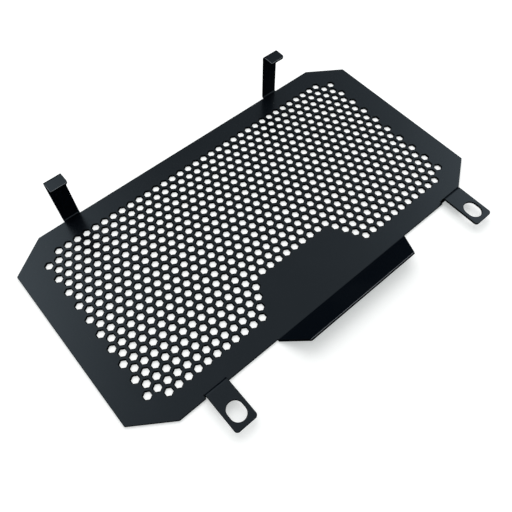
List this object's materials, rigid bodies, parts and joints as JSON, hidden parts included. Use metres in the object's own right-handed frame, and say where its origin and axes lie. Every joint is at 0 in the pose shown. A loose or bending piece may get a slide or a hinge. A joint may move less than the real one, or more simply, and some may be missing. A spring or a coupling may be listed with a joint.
{
  "type": "motorcycle radiator guard",
  "caption": "Honeycomb guard folded from one steel sheet, with turned-over hooks on one long edge and raised slotted ears and an angled flap on the other.",
  "frame": {"origin": "under the middle of the guard's outline, on the plane of the panel's outer face, which it lies on", "axes": "+X along the guard, +Y towards the edge with the hooks, +Z off the panel towards the radiator, the way all folds rise"},
  "size_m": [0.291, 0.1844, 0.0425],
  "materials": {
    "coated_sheet": "satin black powder coat with a fine grain"
  },
  "bodies": {
    "root": {"radiator_guard": "coated_sheet"}
  },
  "joints": []
}
